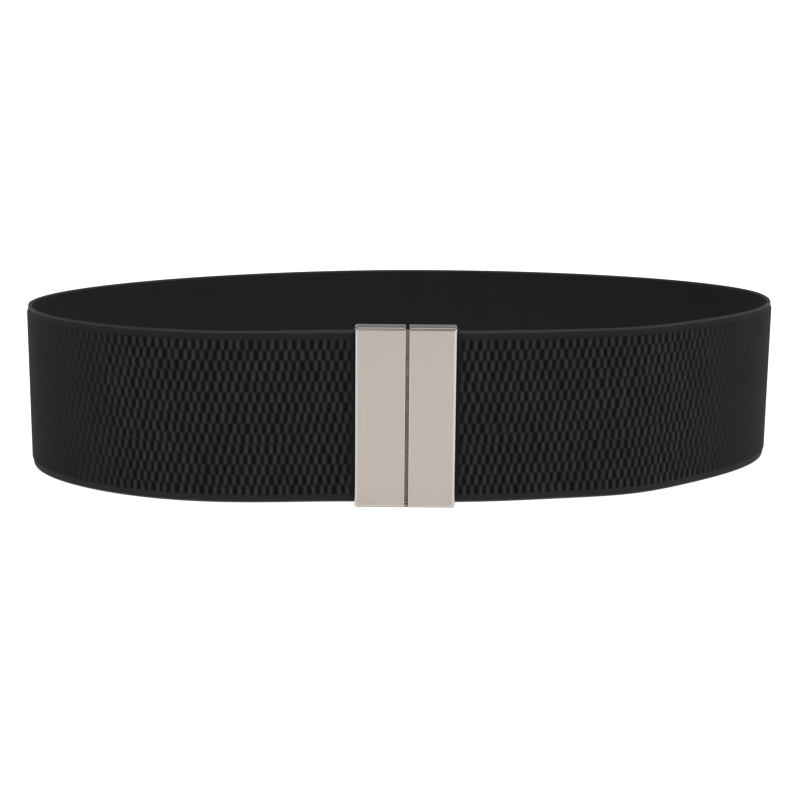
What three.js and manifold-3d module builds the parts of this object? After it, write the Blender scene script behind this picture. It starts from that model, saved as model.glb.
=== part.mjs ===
// An elastic stretch belt, closed as it is worn. One woven elastic band makes the loop, and its two
// ends fold round the bars of two cast metal plates. A clasp tongue behind the plates' faces is
// carried by the left plate and hooks a rib of the right one.
// Millimetres, +Z up, the plates face -Y. The belt stands on its plates and on the back of the band.
import * as THREE from "three";
import { mergeVertices } from "three/addons/utils/BufferGeometryUtils.js";
import Module from "manifold-3d";

const wasm = await Module();
wasm.setup();

// Elastic band
const bandWidth = 60;
const bandThickness = 2;
const selvageWidth = 2.8; // plain strip along each edge of the woven field
const selvageStep = 0.6; // how far the selvage lies behind the woven field
const tailLength = 30; // folded end on the inside, measured from the bar
const tailClosing = 10; // distance from the bar within which a tail closes onto the band
const seamInset = 4; // of a tail's two sewn rows, from its end and from where it has closed
const seamWidth = 0.8;

// Plan of the loop, along the outer face of the band
const loopHalfWidth = 142.1;
const loopHalfDepth = 80.4;
const frontExponent = 2.08; // superellipse exponents: 2 is an ellipse, less is more pointed
const backExponent = 1.84;
const loopTurn = THREE.MathUtils.degToRad(7.87); // until the plates, left of the middle, face forward

// Swells of the front, all as shares: rise of the half depth (negative is a hollow), and where its
// middle lies and how wide it spreads of the half width
const frontSwells = [
  { name: "hollow behind the plates", rise: -0.062, centre: -0.217, spread: 0.257 },
  { name: "left swell", rise: 0.0305, centre: -0.71, spread: 0.285 },
  { name: "right swell", rise: 0.045, centre: 0.509, spread: 0.169 },
];

// Buckle
const leftPlateWidth = 17.3;
const rightPlateWidth = 16.2;
const plateGap = 1.2; // the joint between the two faces
const buckleCentre = 0.4; // place of that joint along X
const faceWall = 1.6;
const endWall = 1;
const slotPlay = 0.8; // spare height above the band in the plates
const plateEdgeRadius = 1;
const plateCornerRadius = 1.3;
const barRadius = 1.2;
const barInset = 5.2; // from a plate's outer side to the middle of its bar
const plateBackLip = 0.4; // how far a plate's end walls reach past its bar

// Clasp tongue, with the rib that it hooks and the studs that carry it
const tongueThickness = 1.2;
const ribDepth = 1.2;
const catchRibWidth = 1.6;
const seatRibWidth = 5.6;
const studRadius = 1.5;
const studHeadRadius = 2.4;
const studHeadThickness = 0.8;
const studHeights = [0.22, 0.78]; // shares of the slot's height

const clearance = 0.3; // between touching pieces
const buryDepth = 0.4; // how far a joined piece reaches into what it is joined to

// Fineness
const bandSteps = 150;
const foldSteps = 10;
const tailSteps = 12;
const rimSteps = 4;
const roundSides = 16;

const slotHeight = bandWidth + clearance + slotPlay;
const plateHeight = slotHeight + 2 * endWall;
const frontLift = endWall + clearance; // lower edge of the band above the ground at the plates
const foldRadius = barRadius + clearance + bandThickness / 2; // middle of the band round a bar
const foldReach = foldRadius + bandThickness / 2;

const leftPlate = {
  outer: buckleCentre - plateGap / 2 - leftPlateWidth,
  inner: buckleCentre - plateGap / 2,
  bar: buckleCentre - plateGap / 2 - leftPlateWidth + barInset,
};
const rightPlate = {
  outer: buckleCentre + plateGap / 2 + rightPlateWidth,
  inner: buckleCentre + plateGap / 2,
  bar: buckleCentre + plateGap / 2 + rightPlateWidth - barInset,
};

// Outer face of the band in plan, at angle t counter-clockwise from the right end of the loop: a
// superellipse with Gaussian swells on its front, turned about the middle.
function planPoint(t) {
  const c = Math.cos(t);
  const s = Math.sin(t);
  const exponent = s < 0 ? frontExponent : backExponent;
  const x = loopHalfWidth * Math.sign(c) * Math.abs(c) ** (2 / exponent);
  let y = loopHalfDepth * Math.sign(s) * Math.abs(s) ** (2 / exponent);
  const frontShare = THREE.MathUtils.clamp(-4 * s, 0, 1); // fades the swells out at the two ends
  for (const swell of frontSwells) {
    const away = (x / loopHalfWidth - swell.centre) / swell.spread;
    y -= loopHalfDepth * swell.rise * Math.exp(-away * away) * frontShare;
  }
  return new THREE.Vector2(x, y).rotateAround(new THREE.Vector2(), loopTurn);
}

// Unit normal of the plan at angle t, into the loop.
function planInward(t) {
  const step = 1e-3;
  const along = planPoint(t + step).sub(planPoint(t - step)).normalize();
  return new THREE.Vector2(-along.y, along.x);
}

// The angle at which the front of the plan crosses x, by halving.
function frontAngleAt(x) {
  let low = -Math.PI + 0.3;
  let high = -0.3;
  for (let i = 0; i < 40; i++) {
    const middle = (low + high) / 2;
    if (planPoint(middle).x < x) low = middle;
    else high = middle;
  }
  return (low + high) / 2;
}

// Angles from start to end that cut the plan into equal lengths.
function evenAngles(start, end, steps) {
  const fine = 1200;
  const angles = [start];
  const lengths = [0];
  for (let i = 1; i <= fine; i++) {
    angles.push(start + ((end - start) * i) / fine);
    lengths.push(lengths[i - 1] + planPoint(angles[i]).distanceTo(planPoint(angles[i - 1])));
  }
  const even = [];
  let k = 0;
  for (let i = 0; i <= steps; i++) {
    const wanted = (lengths[fine] * i) / steps;
    while (k < fine - 1 && lengths[k + 1] < wanted) k++;
    const share = (wanted - lengths[k]) / (lengths[k + 1] - lengths[k]);
    even.push(THREE.MathUtils.lerp(angles[k], angles[k + 1], share));
  }
  return even;
}

// A point behind the plan at angle t, that far into the loop from the band's outer face.
function behind(t, depth) {
  return planPoint(t).addScaledVector(planInward(t), depth);
}

const leftBarAngle = frontAngleAt(leftPlate.bar);
const rightBarAngle = frontAngleAt(rightPlate.bar);
const barDepth = bandThickness / 2 + foldRadius;
leftPlate.barAt = behind(leftBarAngle, barDepth);
rightPlate.barAt = behind(rightBarAngle, barDepth);

const backY = evenAngles(0, Math.PI, 90).reduce((most, t) => Math.max(most, planPoint(t).y), 0);

// Places along Y in the buckle. The faces stand clear of the foremost point of the band behind them.
const frontmostBand = evenAngles(
  frontAngleAt(leftPlate.outer),
  frontAngleAt(rightPlate.outer),
  24,
).reduce((least, t) => Math.min(least, planPoint(t).y), 0);
const faceBackY = frontmostBand - clearance;
const faceY = faceBackY - faceWall;
const tongueFrontY = faceBackY + ribDepth + clearance;
const tongueBackY = tongueFrontY + tongueThickness;
const plateBackY = Math.max(leftPlate.barAt.y, rightPlate.barAt.y) + barRadius + plateBackLip;

// Height of the band's lower edge: lifted by the plates in front, and on the ground at the back.
function lowerEdge(y) {
  return (frontLift * (backY - y)) / (backY - frontmostBand);
}

// The middle line of the band from the end of the right tail, round the right bar, round the loop
// and round the left bar to the end of the left tail.
function bandPath() {
  const path = [];
  const tail = (barAngle, side) => {
    const tailAngle = frontAngleAt(planPoint(barAngle).x + side * tailLength);
    const near = bandThickness / 2 + 2 * foldRadius;
    const far = bandThickness / 2 + bandThickness + clearance;
    return evenAngles(barAngle, tailAngle, tailSteps).map((t, i) => {
      const share = THREE.MathUtils.smoothstep((tailLength * i) / tailSteps, 0, tailClosing);
      return behind(t, THREE.MathUtils.lerp(near, far, share));
    });
  };
  const fold = (plate, barAngle, turnFrom) => {
    const inward = planInward(barAngle);
    for (let i = 1; i < foldSteps; i++) {
      const arm = inward.clone().multiplyScalar(foldRadius);
      arm.rotateAround(new THREE.Vector2(), turnFrom + (Math.PI * i) / foldSteps);
      path.push(plate.barAt.clone().add(arm));
    }
  };
  path.push(...tail(rightBarAngle, 1).reverse());
  fold(rightPlate, rightBarAngle, 0);
  for (const t of evenAngles(rightBarAngle, leftBarAngle + 2 * Math.PI, bandSteps))
    path.push(behind(t, bandThickness / 2));
  fold(leftPlate, leftBarAngle, Math.PI);
  path.push(...tail(leftBarAngle, -1));
  return path;
}

// Section of the band as [towards the face, up]. The selvages are thinner than the woven field, and
// their rims are half round.
function bandSection() {
  const face = bandThickness / 2;
  const rimRadius = (bandThickness - selvageStep) / 2;
  const lowerHalf = [];
  for (let i = 0; i <= rimSteps; i++) {
    const angle = Math.PI + (Math.PI * i) / rimSteps;
    lowerHalf.push([
      rimRadius * Math.cos(angle) - selvageStep / 2,
      rimRadius + rimRadius * Math.sin(angle),
    ]);
  }
  lowerHalf.push([face - selvageStep, selvageWidth - selvageStep], [face, selvageWidth]);
  const upperHalf = lowerHalf.map(([across, up]) => [across, bandWidth - up]).reverse();
  return [...lowerHalf, ...upperHalf];
}

// Carries the section along the path, upright and with its face on the right of the way, and caps
// the two ends.
function sweptBand(path, section) {
  const positions = [];
  const faces = [];
  path.forEach((point, i) => {
    const before = path[Math.max(i - 1, 0)];
    const after = path[Math.min(i + 1, path.length - 1)];
    const stepBefore = point.distanceTo(before) || 1; // no step at the path's own ends
    const stepAfter = point.distanceTo(after) || 1;
    const along = after.clone().sub(point).multiplyScalar(stepBefore / stepAfter);
    along.addScaledVector(point.clone().sub(before), stepAfter / stepBefore).normalize();
    for (const [across, up] of section) {
      const x = point.x + along.y * across;
      const y = point.y - along.x * across;
      positions.push(x, y, lowerEdge(y) + up);
    }
  });
  const n = section.length;
  for (let i = 0; i < path.length - 1; i++)
    for (let j = 0; j < n; j++) {
      const a = i * n + j;
      const b = i * n + ((j + 1) % n);
      faces.push(a, b + n, b, a, a + n, b + n);
    }
  const last = (path.length - 1) * n;
  const outline = section.map(([across, up]) => new THREE.Vector2(across, up));
  for (const [a, b, c] of THREE.ShapeUtils.triangulateShape(outline, []))
    faces.push(a, b, c, last + a, last + c, last + b);
  const geometry = new THREE.BufferGeometry();
  geometry.setAttribute("position", new THREE.Float32BufferAttribute(positions, 3));
  geometry.setIndex(faces);
  return geometry;
}

function toSolid(geometry) {
  const bare = geometry.clone();
  bare.deleteAttribute("normal");
  bare.deleteAttribute("uv");
  const merged = mergeVertices(bare, 1e-4);
  return new wasm.Manifold(
    new wasm.Mesh({
      numProp: 3,
      vertProperties: new Float32Array(merged.attributes.position.array),
      triVerts: new Uint32Array(merged.index.array),
    }),
  );
}

function toGeometry(solid) {
  const mesh = solid.getMesh();
  const geometry = new THREE.BufferGeometry();
  geometry.setAttribute("position", new THREE.BufferAttribute(mesh.vertProperties, 3));
  geometry.setIndex(new THREE.BufferAttribute(mesh.triVerts, 1));
  return geometry;
}

function boxBetween(x0, x1, y0, y1, z0, z1) {
  const box = new THREE.BoxGeometry(x1 - x0, y1 - y0, z1 - z0);
  return toSolid(box.translate((x0 + x1) / 2, (y0 + y1) / 2, (z0 + z1) / 2));
}

function roundAlongY(radius, x, z, y0, y1) {
  const round = new THREE.CylinderGeometry(radius, radius, y1 - y0, roundSides);
  return toSolid(round.translate(x, (y0 + y1) / 2, z));
}

// A sewn row joins the two layers of a tail at that distance from the bar.
function seamRow(barAngle, side, distance) {
  const t = frontAngleAt(planPoint(barAngle).x + side * distance);
  const middle = behind(t, bandThickness + clearance / 2);
  const inward = planInward(t);
  const height = bandWidth - 2 * selvageWidth;
  const row = new THREE.BoxGeometry(seamWidth, clearance + 2 * buryDepth, height);
  row.rotateZ(Math.atan2(-inward.x, inward.y));
  row.translate(middle.x, middle.y, lowerEdge(middle.y) + bandWidth / 2);
  return toSolid(row);
}

function elasticBand() {
  let band = toSolid(sweptBand(bandPath(), bandSection()));
  for (const distance of [tailClosing + seamInset, tailLength - seamInset]) {
    band = band.add(seamRow(leftBarAngle, -1, distance));
    band = band.add(seamRow(rightBarAngle, 1, distance));
  }
  return toGeometry(band);
}

// A cast half of the buckle: a block whose front edges and outer corners are rounded, cut flat at the
// joint between the faces, hollowed from behind and open at both sides, with a bar between its ends.
function castPlate(plate) {
  const left = Math.min(plate.outer, plate.inner);
  const right = Math.max(plate.outer, plate.inner);
  const spare = 4 * plateCornerRadius; // past the joint, where the block is cut flat
  const blockLeft = plate.outer === left ? left : left - spare;
  const blockRight = plate.outer === right ? right : right + spare;
  const outline = new THREE.Shape();
  const r = plateCornerRadius;
  outline.moveTo(blockLeft + r, 0);
  outline.lineTo(blockRight - r, 0);
  outline.absarc(blockRight - r, r, r, -Math.PI / 2, 0);
  outline.lineTo(blockRight, plateHeight - r);
  outline.absarc(blockRight - r, plateHeight - r, r, 0, Math.PI / 2);
  outline.lineTo(blockLeft + r, plateHeight);
  outline.absarc(blockLeft + r, plateHeight - r, r, Math.PI / 2, Math.PI);
  outline.lineTo(blockLeft, r);
  outline.absarc(blockLeft + r, r, r, Math.PI, 1.5 * Math.PI);
  const depth = plateBackY - faceY;
  const block = new THREE.ExtrudeGeometry(outline, {
    depth: depth,
    curveSegments: 4,
    bevelThickness: plateEdgeRadius,
    bevelSize: plateEdgeRadius,
    bevelOffset: -plateEdgeRadius,
    bevelSegments: 4,
  });
  block.rotateX(Math.PI / 2);
  block.translate(0, faceY + plateEdgeRadius + depth, 0);
  const kept = boxBetween(left, right, faceY - 1, plateBackY, -1, plateHeight + 1);
  const hollow = boxBetween(
    left - 1,
    right + 1,
    faceBackY,
    plateBackY + 1,
    endWall,
    endWall + slotHeight,
  );
  const barLength = slotHeight + 2 * buryDepth;
  const bar = new THREE.CylinderGeometry(barRadius, barRadius, barLength, roundSides);
  bar.rotateX(Math.PI / 2);
  bar.translate(plate.barAt.x, plate.barAt.y, endWall + slotHeight / 2);
  return toSolid(block).intersect(kept).subtract(hollow).add(toSolid(bar));
}

// Places along X of the tongue and of what meets it, each from the fold that it has to clear.
const tongueLeft = leftPlate.bar + foldReach + clearance;
const tongueRight = rightPlate.bar - foldReach - clearance;
const catchRibRight = tongueRight - tongueThickness - clearance;
const seatRibLeft = tongueLeft + clearance;
const seatRibRight = Math.min(seatRibLeft + seatRibWidth, leftPlate.inner);
const studX = (seatRibLeft + seatRibRight) / 2;
const studZs = studHeights.map((share) => endWall + share * slotHeight);

function ribBetween(x0, x1) {
  return boxBetween(
    x0,
    x1,
    faceBackY - buryDepth,
    faceBackY + ribDepth,
    endWall - buryDepth,
    endWall + slotHeight + buryDepth,
  );
}

function leftPlateGeometry() {
  let plate = castPlate(leftPlate).add(ribBetween(seatRibLeft, seatRibRight));
  const headY = tongueBackY + clearance;
  for (const z of studZs) {
    plate = plate.add(roundAlongY(studRadius, studX, z, faceBackY, headY + buryDepth));
    plate = plate.add(roundAlongY(studHeadRadius, studX, z, headY, headY + studHeadThickness));
  }
  return toGeometry(plate);
}

function rightPlateGeometry() {
  const catchRib = ribBetween(catchRibRight - catchRibWidth, catchRibRight);
  return toGeometry(castPlate(rightPlate).add(catchRib));
}

// The tongue is a bent strip: flat behind the ribs, with a lip towards the face past the catch rib.
function claspTongueGeometry() {
  const low = endWall + clearance;
  const high = endWall + slotHeight - clearance;
  const lipFrontY = faceBackY + clearance;
  const strip = boxBetween(tongueLeft, tongueRight, tongueFrontY, tongueBackY, low, high);
  const lipLeft = tongueRight - tongueThickness;
  const lip = boxBetween(lipLeft, tongueRight, lipFrontY, tongueBackY, low, high);
  let tongue = strip.add(lip);
  for (const z of studZs)
    tongue = tongue.subtract(
      roundAlongY(studRadius + clearance, studX, z, tongueFrontY - 1, tongueBackY + 1),
    );
  return toGeometry(tongue);
}

function elasticMaterial() {
  return new THREE.MeshStandardMaterial({ color: "#232325", roughness: 0.9, metalness: 0 });
}

function plateMaterial() {
  return new THREE.MeshStandardMaterial({ color: "#c0b8b0", roughness: 0.3, metalness: 1 });
}

function tongueMaterial() {
  return new THREE.MeshStandardMaterial({ color: "#8f8a84", roughness: 0.4, metalness: 1 });
}

function namedMesh(name, geometry, material) {
  const mesh = new THREE.Mesh(geometry, material);
  mesh.name = name;
  return mesh;
}

const belt = new THREE.Group();
belt.add(
  namedMesh("elastic_band", elasticBand(), elasticMaterial()),
  namedMesh("left_plate", leftPlateGeometry(), plateMaterial()),
  namedMesh("right_plate", rightPlateGeometry(), plateMaterial()),
  namedMesh("clasp_tongue", claspTongueGeometry(), tongueMaterial()),
);

// The origin lies on the ground under the middle of the whole belt.
const extent = new THREE.Box3().setFromObject(belt);
const middle = extent.getCenter(new THREE.Vector3());
belt.position.set(-middle.x, -middle.y, -extent.min.z);

export default belt;
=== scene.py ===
"""An elastic stretch belt, closed by two cast plates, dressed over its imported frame.

One woven elastic band makes the loop. Its ends fold round the bars of the plates and are sewn down
behind it. Metres throughout, +Z up, the plates face -Y, and the belt stands on the ground.
"""
import math

import bpy
import numpy as np
from mathutils import Matrix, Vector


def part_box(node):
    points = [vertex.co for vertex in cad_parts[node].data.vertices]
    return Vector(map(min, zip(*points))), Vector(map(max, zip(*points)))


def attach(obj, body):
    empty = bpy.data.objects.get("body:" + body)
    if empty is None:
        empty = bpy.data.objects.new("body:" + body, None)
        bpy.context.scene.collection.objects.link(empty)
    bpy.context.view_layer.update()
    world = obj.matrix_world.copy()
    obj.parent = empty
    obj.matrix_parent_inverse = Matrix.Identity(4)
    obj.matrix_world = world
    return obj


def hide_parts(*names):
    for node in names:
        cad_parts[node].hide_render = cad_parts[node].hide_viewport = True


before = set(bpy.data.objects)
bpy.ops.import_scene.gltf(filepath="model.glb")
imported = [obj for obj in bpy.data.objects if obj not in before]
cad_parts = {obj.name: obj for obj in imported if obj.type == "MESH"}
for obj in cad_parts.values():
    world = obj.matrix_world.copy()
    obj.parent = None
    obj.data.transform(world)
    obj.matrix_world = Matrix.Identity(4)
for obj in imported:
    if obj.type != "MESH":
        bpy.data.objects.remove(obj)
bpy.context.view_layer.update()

bl_info = {
    "name": "Elastic Stretch Belt",
    "version": (1, 0, 0),
    "blender": (4, 5, 0),
    "location": "3D View > Sidebar > Belt",
    "description": "A woven elastic belt with a two-plate clasp, built round its packed frame",
    "category": "Add Mesh",
}

# Places taken from the frame
LEFT_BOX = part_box("left_plate")
RIGHT_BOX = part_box("right_plate")
TONGUE_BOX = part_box("clasp_tongue")
BAND_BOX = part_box("elastic_band")

MM = 0.001
CLEARANCE = 0.3 * MM  # between touching pieces
BURIED = 0.4 * MM  # how far a joined shell reaches into the one that carries it

# Plan of the loop along the band's outer face, as in the frame
FRONT_EXPONENT = 2.08
BACK_EXPONENT = 1.84
FRONT_SWELLS = (  # rise of the half depth, then middle and spread of the half width
    (-0.062, -0.217, 0.257),
    (0.0305, -0.71, 0.285),
    (0.045, 0.509, 0.169),
)

# Form of the weave
FLOAT_SHARPNESS = 1.45  # above 1 the hollows are wider than the floats
FLOAT_BLUNTNESS = 0.3  # power of the sine that closes a float, where less is blunter
ROW_LEAN = 0.055  # share of a period by which each row stands ahead of the one below
FIELD_SINK = 0.1 * MM  # how far the middle of the relief lies behind the band's face
CUT_END_FULLNESS = 0.15  # share of the thickness at the last line of a rounded cut end

# Chance differences in the weave, in periods where nothing else is said
WEAVE_SEED = 11
ROW_LEAD = 0.07
ROW_WANDER = 0.08
WANDER_PACE = 0.37  # radians in a period
FLOAT_SHIFT = 0.07
FLOAT_TILT = 0.12
CREST_RANGE = (0.62, 1.0)  # shares of a full float's height
TROUGH_RANGE = (0.6, 1.0)  # shares of a full hollow's depth

# Where the loop turns, the stretched weave lies flatter, as shares of the half width
TURN_START = 0.63
TURN_SPREAD = 0.24
TURN_FLATTENING = 0.92
FLAT_HEIGHT = 0.36  # of a flattened float, where 1 is a full one

# Fineness of the band's mesh
COLUMNS_PER_PERIOD = 6
TAIL_COLUMNS = 4  # the same, on the hidden tails
ROW_LEVELS = (0.0, 0.16, 0.5, 0.84)  # where a row's lines of points run, as shares of its height
FOLD_CELLS = 8
HIDDEN_CELLS = 2  # between a fold and the woven stretch beside it
CUT_CELLS = 3
RIM_POINTS = 5
DENSE_STEPS = 3000  # of the line round the loop that lengths are measured on
TAIL_STEPS = 375
FOLD_STEPS = 187
FRONT_ANGLES = (-math.pi + 0.3, -0.3)  # between which a place on the front is found, by halving
HALVINGS = 40


def number_property(name, description, default, **kind):
    """A number with its unit or subtype."""
    return bpy.props.FloatProperty(name=name, description=description, default=default, **kind)


def length_property(name, description, default):
    """A size in metres that is shown with its unit."""
    return number_property(name, description, default, min=0.0, precision=5, unit="LENGTH")


def colour_property(name, description, default):
    """A colour as linear red, green and blue."""
    return bpy.props.FloatVectorProperty(
        name=name, description=description, default=default, size=3, min=0.0, max=1.0, subtype="COLOR"
    )


def share_property(name, description, default):
    """A plain share from 0 to 1."""
    return number_property(name, description, default, min=0.0, max=1.0, subtype="FACTOR")


def angle_property(name, description, degrees):
    """An angle, given in degrees and kept in radians."""
    return number_property(name, description, math.radians(degrees), subtype="ANGLE")


def light_property(name, description, default, unit="NONE"):
    """The strength of a light, or its power in watts."""
    return number_property(name, description, default, min=0.0, unit=unit)


class BandSettings(bpy.types.PropertyGroup):
    width: length_property("Width", "Height of the band as it stands", 60 * MM)
    thickness: length_property("Thickness", "Through the woven field", 2 * MM)
    selvage_width: length_property("Selvage width", "Plain strip along each edge", 2.8 * MM)
    selvage_step: length_property("Selvage step", "The selvage lies that far behind the field", 0.6 * MM)
    tail_length: length_property("Tail length", "Folded end, measured from its bar", 30 * MM)
    tail_closing: length_property("Tail closing", "Distance in which a tail closes on the band", 10 * MM)
    weave_period: length_property("Weave period", "From one float to the next along the band", 2.84 * MM)
    weave_rows: bpy.props.IntProperty(
        name="Weave rows", description="Rows of floats across the band", default=15, min=1, max=40
    )
    relief: length_property("Relief", "From the hollows up to the tops of the floats", 0.62 * MM)
    loop_half_width: length_property("Loop half width", "Along X, before the turn", 142.1 * MM)
    loop_half_depth: length_property("Loop half depth", "Along Y, before the turn", 80.4 * MM)
    loop_turn: angle_property("Loop turn", "Turn of the plan that lets the plates face forward", 7.87)


class BuckleSettings(bpy.types.PropertyGroup):
    face_wall: length_property("Face wall", "Thickness of a plate's face", 1.6 * MM)
    end_wall: length_property("End wall", "Thickness of a plate's upper and lower walls", 1 * MM)
    edge_radius: length_property("Edge radius", "Rounding of the face's edges", 1.2 * MM)
    corner_radius: length_property("Corner radius", "Rounding of the outer corners", 0.85 * MM)
    joint_radius: length_property("Joint edge radius", "Rounding where the two faces meet", 0.3 * MM)
    back_rounding: length_property("Back rounding", "Depth of the rounding behind each end wall", 1.5 * MM)
    bar_radius: length_property("Bar radius", "Round bar that the band folds on", 1.2 * MM)
    bar_inset: length_property("Bar inset", "From a plate's outer side to its bar", 5.2 * MM)
    rib_depth: length_property("Rib depth", "Ribs behind the faces", 1.2 * MM)
    seat_rib_width: length_property("Seat rib width", "Rib that the tongue lies on", 5.6 * MM)
    catch_rib_width: length_property("Catch rib width", "Rib that the tongue hooks", 1.6 * MM)
    tongue_thickness: length_property("Tongue thickness", "Strip of the clasp tongue", 1.2 * MM)
    stud_radius: length_property("Stud radius", "Shank of the studs that hold the tongue", 1.5 * MM)
    stud_head_radius: length_property("Stud head radius", "Head behind the tongue", 2.4 * MM)
    stud_head_thickness: length_property("Stud head thickness", "Through the head", 0.8 * MM)


class FinishSettings(bpy.types.PropertyGroup):
    # The floats' colour is lighter than the plain cloth as a painted sheen on their tops, and the hollows'
    # colour is a painted shade in the recesses between them
    float_colour: colour_property("Float colour", "Tops of the woven floats", (0.0315, 0.0312, 0.0336))
    hollow_shade_colour: colour_property("Hollow colour", "Hollows between them", (0.0045, 0.0045, 0.0050))
    plain_colour: colour_property("Plain colour", "Selvages and inner face", (0.0148, 0.0144, 0.0164))
    # The rims' colour is lighter than the plain cloth as a painted highlight on the half-round rims; their
    # gloss and lower roughness in the shader are real
    rim_highlight_colour: colour_property("Rim colour", "Rubbed rims of the band", (0.0225, 0.0223, 0.0245))
    thread_colour: colour_property("Thread colour", "Sewing thread", (0.034, 0.0335, 0.0355))
    plate_colour: colour_property("Plate colour", "Satin nickel of the faces", (0.394, 0.353, 0.325))
    # The edges' colour is brighter than the faces' as a painted highlight on the upright roundings; the
    # ends' colour is darker as a painted shade on the faces above and below
    edge_highlight_colour: colour_property("Edge colour", "Bright upright edges", (0.490, 0.468, 0.446))
    end_shade_colour: colour_property("End colour", "Dimmer ends, above and below", (0.250, 0.232, 0.218))
    # The tongue's steel is kept dark as a painted shade where it shows through the joint between the faces
    tongue_colour: colour_property("Tongue colour", "Rolled steel", (0.20, 0.172, 0.145))
    cloth_sheen: share_property("Cloth sheen", "Bloom of fine fibres seen edge on", 0.02)
    face_roughness: share_property("Face roughness", "Satin of the plates' faces", 0.30)
    edge_roughness: share_property("Edge roughness", "Polish of the plates' edges", 0.10)


class StageSettings(bpy.types.PropertyGroup):
    camera_place: bpy.props.FloatVectorProperty(
        name="Camera place",
        description="Where the camera stands",
        default=(-2.14 * MM, -643.26 * MM, 162.98 * MM),
        size=3,
        subtype="TRANSLATION",
    )
    camera_pitch: angle_property("Camera pitch", "Downward tilt", 12.499)
    camera_roll: angle_property("Camera roll", "Turn about the line of sight", 0.5)
    lens: number_property("Lens", "Focal length for a 36 mm sensor", 76.5, unit="CAMERA")
    floor_size: length_property("Floor size", "Side of the square floor", 12.0)
    floor_glow: light_property("Floor glow", "Light of its own from the white floor", 0.85)
    horizon_strength: light_property("Horizon strength", "White light from the horizon and below", 1.05)
    sky_strength: light_property("Sky strength", "Dimmer light from above the horizon", 0.33)
    overhead_power: light_property("Overhead light", "Wide soft light above", 3.0, "POWER")
    front_power: light_property("Front light", "Wide soft light in front", 2.0, "POWER")
    left_power: light_property("Left light", "Soft light at the left", 0.6, "POWER")
    right_power: light_property("Right light", "Soft light at the right", 2.5, "POWER")


def smoothstep(value):
    """Rises smoothly from 0 at 0 to 1 at 1: three squares less two cubes."""
    held = np.clip(value, 0.0, 1.0)
    return held * held * (3.0 - 2.0 * held)


def full_turn(sides):
    """Angles spaced evenly round a circle."""
    return np.linspace(0.0, 2 * math.pi, sides, endpoint=False)


def running_length(points):
    """Length along a line of points, from 0 at its first."""
    steps = np.linalg.norm(np.diff(points, axis=0), axis=1)
    return np.concatenate([[0.0], np.cumsum(steps)])


class LoopPlan:
    """Plan of the band's outer face, counter-clockwise by the angle t from the right end of the loop."""

    def __init__(self, band):
        self.band = band
        self.shift = np.zeros(2)
        outline = self.outer(np.linspace(0.0, 2.0 * math.pi, DENSE_STEPS))
        frame_middle = (np.array(BAND_BOX[0][:2]) + np.array(BAND_BOX[1][:2])) / 2
        self.shift = frame_middle - (outline.min(axis=0) + outline.max(axis=0)) / 2

    def outer(self, t):
        """Superellipse with Gaussian swells on its front, turned about the middle and then shifted:
        x = half width * |cos t|^(2/n), y = half depth * |sin t|^(2/n), with the signs of cos and sin,
        less half depth * rise * exp(-((x / half width - middle) / spread)^2) for each swell. The
        swells fade out towards the two ends of the loop."""
        c, s = np.cos(t), np.sin(t)
        exponent = np.where(s < 0, FRONT_EXPONENT, BACK_EXPONENT)
        x = self.band.loop_half_width * np.sign(c) * np.abs(c) ** (2 / exponent)
        y = self.band.loop_half_depth * np.sign(s) * np.abs(s) ** (2 / exponent)
        front_share = np.clip(-4 * s, 0, 1)
        for rise, middle, spread in FRONT_SWELLS:
            away = (x / self.band.loop_half_width - middle) / spread
            y = y - self.band.loop_half_depth * rise * np.exp(-away * away) * front_share
        turn_cos, turn_sin = math.cos(self.band.loop_turn), math.sin(self.band.loop_turn)
        turned = np.stack([x * turn_cos - y * turn_sin, x * turn_sin + y * turn_cos], axis=-1)
        return turned + self.shift

    def inward(self, t):
        """Unit normal into the loop: the tangent turned a quarter to the left."""
        step = 1e-3
        along = self.outer(t + step) - self.outer(t - step)
        along = along / np.linalg.norm(along, axis=-1, keepdims=True)
        return np.stack([-along[..., 1], along[..., 0]], axis=-1)

    def behind(self, t, depth):
        """The point at t, moved into the loop by depth."""
        return self.outer(t) + self.inward(t) * np.asarray(depth)[..., None]

    def front_angle(self, x):
        """The angle at which the front crosses x, by halving."""
        low, high = FRONT_ANGLES
        for _ in range(HALVINGS):
            middle = (low + high) / 2
            if self.outer(np.array(middle))[0] < x:
                low = middle
            else:
                high = middle
        return (low + high) / 2


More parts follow.
